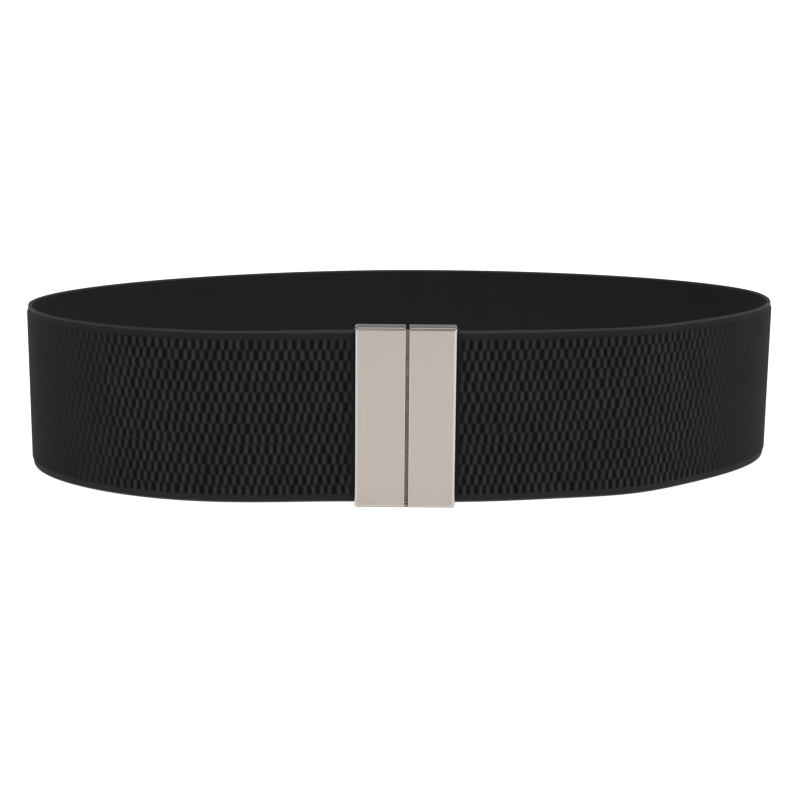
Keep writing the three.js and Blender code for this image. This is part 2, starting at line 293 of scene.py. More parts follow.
class BandStrip:
    """The band unrolled: s runs along its middle line, across is towards its woven face, and up is
    across its width. It starts at the end of the right tail, folds round the right bar, goes round
    the loop, folds round the left bar and ends with the left tail."""

    def __init__(self, band, buckle):
        self.band = band
        self.plan = LoopPlan(band)
        self.fold_radius = buckle.bar_radius + CLEARANCE + band.thickness / 2
        self.right_bar = self.plan.front_angle(RIGHT_BOX[1][0] - buckle.bar_inset)
        self.left_bar = self.plan.front_angle(LEFT_BOX[0][0] + buckle.bar_inset)
        parts = [
            self.tail(self.right_bar, 1)[::-1],
            self.fold(self.right_bar, 0.0),
            self.plan.behind(
                np.linspace(self.right_bar, self.left_bar + 2 * math.pi, DENSE_STEPS), band.thickness / 2
            ),
            self.fold(self.left_bar, math.pi),
            self.tail(self.left_bar, -1),
        ]
        lengths = [running_length(part)[-1] for part in parts]
        self.marks = np.concatenate([[0.0], np.cumsum(lengths)])  # where each part starts and ends
        line = np.concatenate([parts[0]] + [part[1:] for part in parts[1:]])
        self.line, self.at = line, running_length(line)
        along = np.gradient(line, self.at, axis=0)
        along /= np.linalg.norm(along, axis=1, keepdims=True)
        self.face_way = np.stack([along[:, 1], -along[:, 0]], axis=1)
        self.front_lift = buckle.end_wall + CLEARANCE
        self.front_y = LEFT_BOX[0][1] + buckle.face_wall + CLEARANCE
        self.back_y = BAND_BOX[1][1]

    def bar_middle(self, bar_angle):
        """Middle of a bar in plan: a fold's radius behind the band's middle line."""
        return self.plan.behind(bar_angle, self.band.thickness / 2 + self.fold_radius)

    def tail(self, bar_angle, side):
        """From the fold outwards behind the band, closing on it smoothly within the closing length."""
        end = self.plan.front_angle(self.plan.outer(np.array(bar_angle))[0] + side * self.band.tail_length)
        angles = np.linspace(bar_angle, end, TAIL_STEPS)
        run = running_length(self.plan.outer(angles))
        share = smoothstep(run / run[-1] * self.band.tail_length / self.band.tail_closing)
        near = self.band.thickness / 2 + 2 * self.fold_radius
        far = 1.5 * self.band.thickness + CLEARANCE
        return self.plan.behind(angles, near + (far - near) * share)

    def fold(self, bar_angle, start):
        """Half a turn about a bar: the inward normal, as long as the fold's radius, turned."""
        turn = start + np.linspace(0.0, math.pi, FOLD_STEPS)[:, None]
        inward = self.plan.inward(np.array(bar_angle)) * self.fold_radius
        sideways = np.array([-inward[1], inward[0]])
        return self.bar_middle(np.array(bar_angle)) + inward * np.cos(turn) + sideways * np.sin(turn)

    def place(self, s, across, up):
        """Points of the band in space. Its lower edge is lifted by the plates in front, and falls
        evenly to the ground at the back."""
        s, across, up = np.broadcast_arrays(s, across, up)
        x, y = (
            np.interp(s, self.at, line) + across * np.interp(s, self.at, way)
            for line, way in zip(self.line.T, self.face_way.T)
        )
        lower_edge = self.front_lift * (self.back_y - y) / (self.back_y - self.front_y)
        return np.stack([x, y, lower_edge + up], axis=-1)


class WeaveStations:
    """Places along the strip. Coarse ones carry the selvages and the inner face. Between two coarse
    ones lie the fine ones, which carry the floats, several to a period."""

    def __init__(self, strip, buckle):
        band = strip.band
        marks = strip.marks
        cut = band.thickness / 2  # the rounded cut end of a tail
        hidden = buckle.bar_inset
        # Where each stretch ends, its plain cells, or none where it is woven, and the fine columns
        stretches = (
            (cut, CUT_CELLS, 1),
            (marks[1] - hidden, None, TAIL_COLUMNS),
            (marks[1], HIDDEN_CELLS, 1),
            (marks[2], FOLD_CELLS, 1),
            (marks[2] + hidden, HIDDEN_CELLS, 1),
            (marks[3] - hidden, None, COLUMNS_PER_PERIOD),
            (marks[3], HIDDEN_CELLS, 1),
            (marks[4], FOLD_CELLS, 1),
            (marks[4] + hidden, HIDDEN_CELLS, 1),
            (marks[5] - cut, None, TAIL_COLUMNS),
            (marks[5], CUT_CELLS, 1),
        )
        start, woven, coarse, fine, inside = 0.0, [], [0.0], [0.0], []
        for end, plain_cells, columns in stretches:
            cells = plain_cells or max(1, round((end - start) / band.weave_period))
            if plain_cells is None:
                woven.append((start, end, cells))
            coarse.extend(np.linspace(start, end, cells + 1)[1:])
            fine.extend(np.linspace(start, end, cells * columns + 1)[1:])
            inside.extend([columns] * cells)
            start = end
        self.coarse = np.array(coarse)
        self.fine = np.array(fine)
        self.columns = np.array(inside)  # fine cells in each coarse cell
        self.first_fine = np.concatenate([[0], np.cumsum(self.columns)])
        self.phase = np.zeros_like(self.fine)
        self.fade = np.zeros_like(self.fine)
        for start, end, cells in woven:
            share = (self.fine - start) / (end - start)
            self.phase = np.where((share >= 0) & (share <= 1), share * cells, self.phase)
            near = np.minimum(self.fine - start, end - self.fine)
            self.fade = np.maximum(self.fade, smoothstep(near / band.weave_period))
        side = np.abs(np.interp(self.fine, strip.at, strip.line[:, 0])) / band.loop_half_width
        self.fade *= 1.0 - TURN_FLATTENING * smoothstep((side - TURN_START) / TURN_SPREAD)
        self.length = marks[5]
        self.cut = cut

    def fullness(self, s):
        """Share of the thickness: 1 but for a round cut end, sqrt(1 - (1 - distance / radius)^2)."""
        distance = np.clip(np.minimum(s, self.length - s) / self.cut, 0.0, 1.0)
        return np.maximum(np.sqrt(1.0 - (1.0 - distance) ** 2), CUT_END_FULLNESS)


def row_levels(rows):
    """Heights of the woven field's lines of points, where 1 is a row."""
    return np.append((np.arange(rows)[:, None] + np.array(ROW_LEVELS)).ravel(), rows)


def float_relief(phase, rows):
    """Height of the weave, from 0 in the hollows to 1 on the floats, on a grid of phase by height.
    Half + half * cos(2 pi phase + pi row) * sin(pi v)^bluntness, where v runs through a row from 0
    to 1, so that neighbouring rows stand half a period apart, and a little more by their lean, and each
    float ends bluntly. All of it is raised to the power of the sharpness. The rows wander a little. Each
    float has its own height, place and tilt, and each hollow its own depth."""
    chance = np.random.default_rng(WEAVE_SEED)
    level = row_levels(rows)
    row = np.minimum(level.astype(int), rows - 1)
    v = level - row
    fullness = np.sin(np.pi * v).clip(0.0) ** FLOAT_BLUNTNESS
    lead = chance.uniform(-ROW_LEAD, ROW_LEAD, rows)[row]
    swing = chance.uniform(0.0, 2.0 * np.pi, rows)[row]
    wander = lead + ROW_WANDER * np.sin(WANDER_PACE * phase[:, None] + swing)
    turns = phase[:, None] + wander + (0.5 + ROW_LEAN) * row
    count = int(phase.max()) + 4  # a few more than the longest stretch has
    nearest = np.round(turns).astype(int) % count
    crest = chance.uniform(*CREST_RANGE, (count, rows))[nearest, row]
    trough = chance.uniform(*TROUGH_RANGE, (count, rows))[np.floor(turns).astype(int) % count, row]
    turns = turns + chance.uniform(-FLOAT_SHIFT, FLOAT_SHIFT, (count, rows))[nearest, row]
    turns = turns + chance.uniform(-FLOAT_TILT, FLOAT_TILT, (count, rows))[nearest, row] * (v - 0.5)
    wave = np.cos(2.0 * np.pi * turns)
    return (0.5 + 0.5 * fullness * wave * np.where(wave > 0, crest, trough)) ** FLOAT_SHARPNESS


def polygon_grid(first, columns, rows):
    """Quads of a grid of points that are numbered rows first, as an array of four corners."""
    i, j = np.meshgrid(np.arange(columns - 1), np.arange(rows - 1), indexing="ij")
    corner = first + i * rows + j
    return np.stack([corner, corner + rows, corner + rows + 1, corner + 1], axis=-1).reshape(-1, 4)


def closed_tube(sections):
    """A shell from sections of equal points, each a ring round the way they go: quads between the
    rings, and a polygon over each end. sections has the shape rings, points, 3, and a ring turns
    clockwise when it is looked at along the way."""
    rings, sides = sections.shape[:2]
    i, k = np.meshgrid(np.arange(rings - 1), np.arange(sides), indexing="ij")
    here, beside = i * sides + k, i * sides + (k + 1) % sides
    quads = np.stack([here, here + sides, beside + sides, beside], axis=-1).reshape(-1, 4)
    start = np.arange(sides)[None, :]
    end = (rings - 1) * sides + np.arange(sides)[None, ::-1]
    return sections.reshape(-1, 3), [quads, start, end]


def joined(*shells):
    """Several shells as one, with their corners renumbered."""
    points, polygons, first = [], [], 0
    for vertices, groups in shells:
        points.append(vertices)
        polygons.extend(group + first for group in groups)
        first += len(vertices)
    return np.concatenate(points), polygons


def new_piece(name, shell, materials, slots=None, strip_map=None, ridge=None, sharp_angle=None):
    """An object at the origin from points and groups of equal polygons. slots gives each group's
    material, strip_map each point's place on the unrolled band, and ridge each point's height."""
    vertices, groups = shell
    corners = np.concatenate([group.ravel() for group in groups]).astype(np.int32)
    sizes = np.concatenate([np.full(len(group), group.shape[1]) for group in groups])
    starts = np.concatenate([[0], np.cumsum(sizes)[:-1]]).astype(np.int32)
    mesh = bpy.data.meshes.new(name)
    mesh.vertices.add(len(vertices))
    mesh.vertices.foreach_set("co", vertices.astype(np.float32).ravel())
    mesh.loops.add(len(corners))
    mesh.loops.foreach_set("vertex_index", corners)
    mesh.polygons.add(len(sizes))
    mesh.polygons.foreach_set("loop_start", starts)
    mesh.polygons.foreach_set("use_smooth", np.ones(len(sizes), dtype=bool))
    if slots is not None:
        index = np.concatenate([np.full(len(group), slot) for group, slot in zip(groups, slots)])
        mesh.polygons.foreach_set("material_index", index.astype(np.int32))
    mesh.update(calc_edges=True)
    if strip_map is not None:
        layer = mesh.uv_layers.new(name="strip")
        layer.data.foreach_set("uv", strip_map[corners].astype(np.float32).ravel())
    if ridge is not None:
        height = mesh.attributes.new("ridge", "FLOAT", "POINT")
        height.data.foreach_set("value", ridge.astype(np.float32))
    if sharp_angle is not None:
        mesh.set_sharp_from_angle(angle=sharp_angle)
    if mesh.validate():
        raise RuntimeError(name + " has a faulty polygon")
    for material in materials:
        mesh.materials.append(material)
    piece = bpy.data.objects.new(name, mesh)
    bpy.context.scene.collection.objects.link(piece)
    return piece


def band_shell(strip, stations):
    """The whole band as one closed shell. Its woven field is a fine grid. Its selvages, half-round
    rims and inner face are a coarse one, and a row of many-sided polygons joins the two."""
    band = strip.band
    face = band.thickness / 2
    row_height = (band.width - 2 * band.selvage_width) / band.weave_rows
    up = band.selvage_width + row_height * row_levels(band.weave_rows)
    levels = len(up)
    height = float_relief(stations.phase, band.weave_rows)
    height = FLAT_HEIGHT + (height - FLAT_HEIGHT) * stations.fade[:, None]
    full = stations.fullness(stations.fine)[:, None]
    across = (face - FIELD_SINK + band.relief * (height - 0.5)) * full
    field = strip.place(stations.fine[:, None], across, up)

    rim_radius = (band.thickness - band.selvage_step) / 2
    turn = np.linspace(0.0, math.pi, RIM_POINTS)
    rim_across = rim_radius * np.cos(turn) - band.selvage_step / 2
    rim_up = band.width - rim_radius + rim_radius * np.sin(turn)
    step_up = band.width - band.selvage_width + band.selvage_step
    inner_up = band.width * np.array([0.75, 0.5, 0.25])
    upper = np.stack([np.append(face - band.selvage_step, rim_across), np.append(step_up, rim_up)])
    inner = np.stack([np.full(3, -face), inner_up])
    lower = np.stack([upper[0, ::-1], band.width - upper[1, ::-1]])
    section = np.concatenate([upper, inner, lower], axis=1)
    full = stations.fullness(stations.coarse)[:, None]
    rest = strip.place(stations.coarse[:, None], section[0] * full, section[1])

    fine_count, coarse_count, around = len(stations.fine), len(stations.coarse), section.shape[1]
    first_rest = fine_count * levels
    field_quads = polygon_grid(0, fine_count, levels)
    rest_quads = polygon_grid(first_rest, coarse_count, around)
    strip_of = np.arange(len(rest_quads)) % (around - 1)
    from_edge = np.minimum(strip_of, around - 2 - strip_of)
    on_rim = (from_edge >= 1) & (from_edge < RIM_POINTS)
    # The rims take slot 2, whose lighter colour is a painted highlight
    groups, slots = [field_quads, rest_quads[~on_rim], rest_quads[on_rim]], [0, 1, 2]
    for columns in np.unique(stations.columns):
        cell = np.flatnonzero(stations.columns == columns)[:, None]
        fine = (stations.first_fine[cell] + np.arange(columns + 1)) * levels
        here = first_rest + cell * around
        top = np.concatenate([fine + levels - 1, here + around, here], axis=1)
        bottom = np.concatenate([here + around - 1, here + 2 * around - 1, fine[:, ::-1]], axis=1)
        groups += [top, bottom]
        slots += [1, 1]
    start = np.concatenate([np.arange(levels), first_rest + np.arange(around)])
    end = start + np.repeat([(fine_count - 1) * levels, (coarse_count - 1) * around], [levels, around])
    groups += [start[None, :], end[None, ::-1]]
    slots += [1, 1]
    field_map = np.stack(np.broadcast_arrays(stations.fine[:, None], up[None, :]), axis=-1)
    rest_map = np.stack(np.broadcast_arrays(stations.coarse[:, None], section[1][None, :]), axis=-1)
    strip_map = np.concatenate([field_map.reshape(-1, 2), rest_map.reshape(-1, 2)])
    ridge = np.concatenate([height.ravel(), np.full(coarse_count * around, 0.5)])
    vertices = np.concatenate([field.reshape(-1, 3), rest.reshape(-1, 3)])
    return (vertices, groups), slots, strip_map, ridge


# Sewing thread
STITCH_LENGTH = 3.0 * MM
STITCH_PITCH = 3.5 * MM
THREAD_RADIUS = 0.24 * MM
STITCH_BOW = 0.28 * MM
STITCH_SINK = 0.2 * MM  # of a stitch's ends behind the face
FRONT_SINK = 0.7 * MM  # how much deeper the rows of the outer face lie, down in the hollows
SEAM_INSET = 4 * MM  # of the two rows of a tail, from its end and from where it has closed
STITCH_RINGS = 9
STITCH_SIDES = 8
STITCH_BLUNTNESS = 0.3


def stitch_row(strip, s, across):
    """One row of stitches at s, up the band. Each is a capsule in strip coordinates: its middle runs
    up by the stitch's length and bows out of the cloth by sin(pi q) from q = 0 to 1, and its radius is
    the thread's times sin(pi q)^bluntness."""
    band = strip.band
    room = band.width - 2 * band.selvage_width - STITCH_LENGTH
    count = int(room / STITCH_PITCH) + 1
    starts = band.width / 2 + (np.arange(count) - (count - 1) / 2) * STITCH_PITCH - STITCH_LENGTH / 2
    q = np.linspace(0.02, 0.98, STITCH_RINGS)[None, :, None]
    turn = full_turn(STITCH_SIDES)[None, None, :]
    radius = THREAD_RADIUS * np.sin(math.pi * q) ** STITCH_BLUNTNESS
    bow = STITCH_BOW * np.sin(math.pi * q)
    depth = across - STITCH_SINK + bow + radius * np.cos(turn)
    points = strip.place(s + radius * np.sin(turn), depth, starts[:, None, None] + STITCH_LENGTH * q)
    return [closed_tube(stitch) for stitch in points]


# Points of support that keep flat faces flat beside a rounding
BAR_SUPPORT = 0.05 * MM
PLATE_SUPPORT = 0.12 * MM

# Roundings of the castings
ROUND_SIDES = 32
ARC_POINTS = 9
JOINT_POINTS = 4
CORNER_POINTS = 4  # of a rib or a tab
RIB_RADIUS = 0.25 * MM
MOST_OF_WALL = 0.95  # that a rounding may take from an end wall
WALL_DROP = 0.6  # share of an end wall that its back end turns in by
WALL_CHAMFER = 0.15 * MM  # inside the back end, and at most the next share of the wall
CHAMFER_SHARE = 0.4


def round_section(radius):
    """A circle of points, clockwise when it is looked at along +Z."""
    turn = full_turn(ROUND_SIDES)
    return radius * np.stack([np.cos(turn), -np.sin(turn)], axis=-1)


def upright_bar(middle, section, low, high):
    """A section carried straight up from low to high, with a point of support near each end."""
    heights = np.array([low, low + BAR_SUPPORT, high - BAR_SUPPORT, high])
    rings = np.zeros((len(heights), len(section), 3))
    rings[..., :2] = np.asarray(middle) + section
    rings[..., 2] = heights[:, None]
    return closed_tube(rings[:, ::-1])


def rounded_block(x, y, z, radius=RIB_RADIUS):
    """A box between two values of x, y and z whose upright edges are rounded, carried up."""
    corners = ((x[1], y[1], 0.0), (x[0], y[1], 0.5), (x[0], y[0], 1.0), (x[1], y[0], 1.5))
    points = []
    for corner_x, corner_y, start in corners:
        turn = math.pi * (start + np.linspace(0.0, 0.5, CORNER_POINTS))
        centre_x = corner_x - math.copysign(radius, math.cos(turn.mean()))
        centre_y = corner_y - math.copysign(radius, math.sin(turn.mean()))
        points.append([centre_x + radius * np.cos(turn), centre_y + radius * np.sin(turn)])
    section = np.concatenate(points, axis=1).T[::-1]
    return upright_bar((0.0, 0.0), section, *z)


def stud(x, z, front, back, buckle):
    """A shank with a mushroom head, turned about a line along Y: a circle whose radius follows a
    profile of shank, fillet, head and rounded rim."""
    shank, head = buckle.stud_radius, buckle.stud_head_radius
    thick = buckle.stud_head_thickness
    rim_radius = thick / 2
    rim = np.concatenate([np.linspace(-math.pi / 2, 0.0, 6), np.linspace(0.0, math.pi / 2, 6)[1:]])
    rim_radii = head - rim_radius + rim_radius * np.cos(rim)
    rim_along = back + rim_radius + rim_radius * np.sin(rim)
    top = back + thick + np.array([0.8, 1.0]) * BAR_SUPPORT
    radii = np.concatenate([[shank, shank, head - rim_radius], rim_radii, [0.6 * head, 0.2 * head]])
    along = np.concatenate([[front, back, back], rim_along, top])
    turn = full_turn(ROUND_SIDES)
    ring_x = x + radii[:, None] * np.cos(turn)
    ring_z = z + radii[:, None] * np.sin(turn)
    ring_y = np.broadcast_to(along[:, None], ring_x.shape)
    return closed_tube(np.stack([ring_x, ring_y, ring_z], axis=-1))


def arc_inset(distance, radius):
    """How far a quarter round of that radius lies inside its square corner at a distance from its
    end: radius - sqrt(radius^2 - (radius - distance)^2)."""
    reach = np.clip(radius - distance, 0.0, radius)
    return radius - np.sqrt(radius * radius - reach * reach)


def plate_shell(box, outer_on_left, buckle):
    """A cast plate: a C-shaped profile carried along X. The profile is a face with rounded edges and
    two walls that run back from it and end in a quarter ellipse. Towards the outer side it shrinks
    along a quarter round, and at the joint along a much smaller one."""
    low, high = box
    front, back = low[1], high[1]
    height = high[2] - low[2]
    width = high[0] - low[0]
    edge, wall = buckle.edge_radius, buckle.end_wall
    rounding = max(edge, buckle.corner_radius)
    arc = np.linspace(0.0, math.pi / 2, ARC_POINTS)
    joint_steps = buckle.joint_radius * (1 - np.cos(np.linspace(0.0, math.pi / 2, JOINT_POINTS)))
    supports = [rounding + PLATE_SUPPORT, width - buckle.joint_radius - PLATE_SUPPORT]
    distance = np.concatenate([rounding * (1 - np.cos(arc)), supports, (width - joint_steps)[::-1]])
    from_joint = width - distance
    inset_y = arc_inset(distance, edge) + arc_inset(from_joint, buckle.joint_radius)
    inset_z = arc_inset(distance, buckle.corner_radius) + arc_inset(from_joint, buckle.joint_radius)
    inset_z = np.minimum(inset_z, MOST_OF_WALL * wall)
    x = low[0] + distance if outer_on_left else high[0] - distance
    if not outer_on_left:
        x, inset_y, inset_z = x[::-1], inset_y[::-1], inset_z[::-1]
    x, inset_y, inset_z = x[:, None], inset_y[:, None], inset_z[:, None]
    ones = np.ones_like(x)
    deep, tall = edge - inset_y, edge - np.minimum(inset_z, edge)
    chamfer = np.minimum(WALL_CHAMFER, CHAMFER_SHARE * (wall - inset_z))
    drop = WALL_DROP * (wall - inset_z)
    half_y = [
        front + edge - deep * np.cos(arc),
        (front + edge + PLATE_SUPPORT) * ones,
        (back - buckle.back_rounding - PLATE_SUPPORT) * ones,
        back - buckle.back_rounding * (1 - np.sin(arc)) * ones,
        back * ones,
        back - chamfer,
        (front + buckle.face_wall) * ones,
    ]
    half_z = [
        height - edge + tall * np.sin(arc),
        height - inset_z,
        height - inset_z,
        height - inset_z - drop * (1 - np.cos(arc)),
        height - wall + chamfer,
        (height - wall) * ones,
        (height - wall) * ones,
    ]
    front_y = front + inset_y
    upper_y = np.concatenate([front_y] + half_y, axis=1)
    upper_z = np.concatenate([(height - edge - PLATE_SUPPORT) * ones] + half_z, axis=1)
    profile_y = np.concatenate([upper_y[:, ::-1], upper_y], axis=1)
    profile_z = low[2] + np.concatenate([height - upper_z[:, ::-1], upper_z], axis=1)
    rings = np.stack([np.broadcast_to(x, profile_y.shape), profile_y, profile_z], axis=-1)
    return closed_tube(rings)


def feed(tree, socket, value):
    """Gives a socket another node's output or a value of its own. A colour's fourth value is full."""
    if isinstance(value, bpy.types.NodeSocket):
        tree.links.new(value, socket)
    elif socket.type == "RGBA":
        socket.default_value = (*value, 1.0)
    else:
        socket.default_value = value


def add_node(tree, kind, inputs=(), **settings):
    """A node of that kind. inputs gives a value or another node's output for each socket."""
    node = tree.nodes.new(kind)
    for name, value in settings.items():
        setattr(node, name, value)
    for key, value in dict(inputs).items():
        feed(tree, node.inputs[key], value)
    return node


def calculate(tree, operation, *values):
    """The output of a Math node."""
    return add_node(tree, "ShaderNodeMath", enumerate(values), operation=operation).outputs[0]


def mix_colours(tree, share, first, second):
    """A colour between two others."""
    inputs = {0: share, 6: first, 7: second}
    return add_node(tree, "ShaderNodeMix", inputs, data_type="RGBA").outputs[2]


def scale_colour(tree, colour, tone):
    """A colour times a tone."""
    inputs = {0: colour, "Scale": tone}
    return add_node(tree, "ShaderNodeVectorMath", inputs, operation="SCALE").outputs[0]


def rescale(tree, value, from_low, from_high, to_low=0.0, to_high=1.0):
    """A value moved from one range to another, and held within it."""
    inputs = {"Value": value, "From Min": from_low, "From Max": from_high}
    inputs.update({"To Min": to_low, "To Max": to_high})
    return add_node(tree, "ShaderNodeMapRange", inputs).outputs[0]


def noise(tree, place, scale, detail=2.0):
    """Smooth noise round 0.5, with that many repeats in a metre."""
    inputs = {"Vector": place, "Scale": scale, "Detail": detail}
    return add_node(tree, "ShaderNodeTexNoise", inputs).outputs[0]


def object_place(tree):
    """The place in the piece's own space."""
    return add_node(tree, "ShaderNodeTexCoord").outputs["Object"]


def strip_place(tree):
    """The place on the unrolled band."""
    return add_node(tree, "ShaderNodeUVMap", uv_map="strip").outputs[0]


def new_group(name, vector, inputs, outputs):
    """A node group with a vector, numbers with their defaults and outputs, and its two end nodes."""
    group = bpy.data.node_groups.new(name, "ShaderNodeTree")
    group.interface.new_socket(name=vector, in_out="INPUT", socket_type="NodeSocketVector")
    for socket_name, default in inputs.items():
        socket = group.interface.new_socket(
            name=socket_name, in_out="INPUT", socket_type="NodeSocketFloat"
        )
        socket.default_value = default
    for socket_name in outputs:
        group.interface.new_socket(name=socket_name, in_out="OUTPUT", socket_type="NodeSocketFloat")
    return group, group.nodes.new("NodeGroupInput"), group.nodes.new("NodeGroupOutput")


def put_out(group, result, values):
    """Connects a group's values to its output node."""
    for name, value in values.items():
        feed(group, result.inputs[name], value)
    return group


# Repeats of noise in a metre
FIBRES = 2600.0
TONE_PATCHES = 70.0
DRAWN_STREAKS = (9000.0, 9000.0, 160.0)
RUBBED_SPOTS = 420.0
CLOUDS = 90.0
FLOOR_PATCHES = 3.0


def yarn_group():
    """Fine yarns on the unrolled band: bumps in a plain weave, with fibres that vary in tone."""
    pitches = {"Pitch Along": 0.4 * MM, "Pitch Up": 0.6 * MM}
    group, given, result = new_group("belt_yarns", "Strip", pitches, ("Height", "Tone"))
    strip = given.outputs["Strip"]
    split = add_node(group, "ShaderNodeSeparateXYZ", {0: strip})
    waves = []
    for axis, pitch in zip("XY", pitches):
        turns = calculate(group, "DIVIDE", split.outputs[axis], given.outputs[pitch])
        waves.append(calculate(group, "SINE", calculate(group, "MULTIPLY", turns, math.pi)))
    weave = rescale(group, calculate(group, "MULTIPLY", *waves), -1.0, 1.0)
    fibres = noise(group, strip, FIBRES)
    height = calculate(group, "ADD", weave, calculate(group, "MULTIPLY", fibres, 0.5))
    fine_tone = rescale(group, fibres, 0.3, 0.7, 0.86, 1.14)
    broad_tone = rescale(group, noise(group, strip, TONE_PATCHES, 3.0), 0.3, 0.7, 0.92, 1.08)
    tone = calculate(group, "MULTIPLY", fine_tone, broad_tone)
    return put_out(group, result, {"Height": height, "Tone": tone})


def grain_group():
    """Fine vertical grain of satin metal: noise drawn out along Z, and soft cloudy patches."""
    outputs = ("Height", "Rubbed", "Cloud")
    group, given, result = new_group("belt_metal_grain", "Point", {"Streak": 1.0}, outputs)
    point = given.outputs["Point"]
    drawn = add_node(group, "ShaderNodeMapping", {"Vector": point, "Scale": DRAWN_STREAKS})
    height = calculate(group, "MULTIPLY", noise(group, drawn.outputs[0], 1.0), given.outputs["Streak"])
    rubbed = rescale(group, noise(group, point, RUBBED_SPOTS, 4.0), 0.35, 0.65)
    cloud = rescale(group, noise(group, point, CLOUDS, 3.0), 0.3, 0.7)
    return put_out(group, result, {"Height": height, "Rubbed": rubbed, "Cloud": cloud})


def place_group(tree, name, make, inputs):
    """A shared group placed in a material, with its own values. It is made when first asked for."""
    group = bpy.data.node_groups.get(name) or make()
    return add_node(tree, "ShaderNodeGroup", inputs, node_tree=group).outputs


def place_yarns(tree, place, pitch):
    """The yarns with their pitch along and up the band."""
    inputs = {"Strip": place, "Pitch Along": pitch[0], "Pitch Up": pitch[1]}
    return place_group(tree, "belt_yarns", yarn_group, inputs)


def place_grain(tree, streak):
    """The grain of a metal, with the depth of its streaks."""
    inputs = {"Point": object_place(tree), "Streak": streak}
    return place_group(tree, "belt_metal_grain", grain_group, inputs)


def new_material(name, values):
    """A material with only its output and one surface shader, whose own sockets hold the values."""
    material = bpy.data.materials.new(name)
    material.use_nodes = True
    tree = material.node_tree
    tree.nodes.clear()
    shader = add_node(tree, "ShaderNodeBsdfPrincipled", values)
    add_node(tree, "ShaderNodeOutputMaterial", {"Surface": shader.outputs[0]})
    return material, tree, shader


def connect_surface(tree, shader, colour, roughness, height, strength, depth):
    """Connects a colour, a roughness and a bump of that strength and depth."""
    bump = add_node(tree, "ShaderNodeBump", {"Height": height, "Strength": strength, "Distance": depth})
    for name, value in (("Base Color", colour), ("Roughness", roughness), ("Normal", bump.outputs[0])):
        feed(tree, shader.inputs[name], value)


# Yarns of the cloths: pitch along and up, roughness from hollows to tops, gloss, and depth of bump
CLOTH_BUMP = 0.6
CLOTH_SHEEN_ROUGHNESS = 0.4
FIELD_YARNS = {"pitch": (0.29 * MM, 2.4 * MM), "rough": (0.95, 0.72), "gloss": 0.06, "depth": 0.06 * MM}
SELVAGE_YARNS = {"pitch": (0.45 * MM, 0.7 * MM), "rough": (0.92, 0.8), "gloss": 0.16, "depth": 0.08 * MM}
RIM_YARNS = {**SELVAGE_YARNS, "rough": (0.62, 0.5), "gloss": 0.4}
THREAD_YARNS = {"pitch": (0.2 * MM, 0.3 * MM), "rough": (0.8, 0.6), "gloss": 0.06, "depth": 0.04 * MM}
HIGHEST_YARN = 1.5  # of the yarns' height
SHADED_RIDGE = (0.15, 0.8)  # ridge heights over which the painted shade of the hollows gives way to the floats' colour and its painted sheen

# Grains of the metals: strength and depth of their bump
PLATE_GRAIN = {"strength": 0.12, "depth": 0.01 * MM}
TONGUE_GRAIN = {"strength": 0.3, "depth": 0.03 * MM}


def cloth_material(name, finish, tint, pitch, rough, gloss, depth, hollow=None, find_place=strip_place):
    """Dull cloth or thread: a tint varied by its yarns. Where a colour of the hollows is given, both
    tint and roughness follow the ridge of the weave, from there to the tops of the floats; that colour
    is a painted shade in the hollows, and the lighter tops carry a painted sheen."""
    sheen = {"Sheen Weight": finish.cloth_sheen, "Sheen Roughness": CLOTH_SHEEN_ROUGHNESS}
    material, tree, shader = new_material(name, {**sheen, "Specular IOR Level": gloss})
    yarns = place_yarns(tree, find_place(tree), pitch)
    height, top = yarns["Height"], HIGHEST_YARN
    if hollow is not None:
        height, top = add_node(tree, "ShaderNodeAttribute", attribute_name="ridge").outputs["Fac"], 1.0
        # Painted shade in the hollows and painted sheen on the float tops, following the ridge height
        tint = mix_colours(tree, rescale(tree, height, *SHADED_RIDGE), hollow, tint)
    colour = scale_colour(tree, tint, yarns["Tone"])
    roughness = rescale(tree, height, 0.0, top, *rough)
    connect_surface(tree, shader, colour, roughness, yarns["Height"], CLOTH_BUMP, depth)
    return material


def plate_material(finish):
    """Nickel plate: satin on the flat faces, polished where the upright edges turn, with a painted
    highlight in their brighter colour, and a painted shade in the darker colour of the ends."""
    material, tree, shader = new_material("belt_nickel_plate", {"Metallic": 1.0})
    grain = place_grain(tree, 1.0)
    geometry = add_node(tree, "ShaderNodeNewGeometry")
    normal = add_node(tree, "ShaderNodeSeparateXYZ", {0: geometry.outputs["Normal"]})
    facing, level = (calculate(tree, "ABSOLUTE", normal.outputs[axis]) for axis in "YZ")
    # Masks by the way a face turns: the satin faces, and the ends above and below that get the painted
    # shade
    satin = rescale(tree, facing, 0.95, 0.998)
    end = rescale(tree, level, 0.3, 0.8)
    # Painted highlight on the upright edges, painted shade on the ends
    turned = mix_colours(tree, end, finish.edge_highlight_colour, finish.end_shade_colour)
    metal = mix_colours(tree, satin, turned, finish.plate_colour)
    colour = scale_colour(tree, metal, rescale(tree, grain["Cloud"], 0.0, 1.0, 0.99, 1.01))
    rough = finish.face_roughness
    satin_roughness = rescale(tree, grain["Rubbed"], 0.0, 1.0, rough - 0.01, rough + 0.01)
    wide = calculate(tree, "MULTIPLY", satin_roughness, satin)
    narrow = calculate(tree, "MULTIPLY", calculate(tree, "SUBTRACT", 1.0, satin), finish.edge_roughness)
    roughness = calculate(tree, "ADD", wide, narrow)
    height = calculate(tree, "MULTIPLY", grain["Height"], satin)
    connect_surface(tree, shader, colour, roughness, height, **PLATE_GRAIN)
    return material


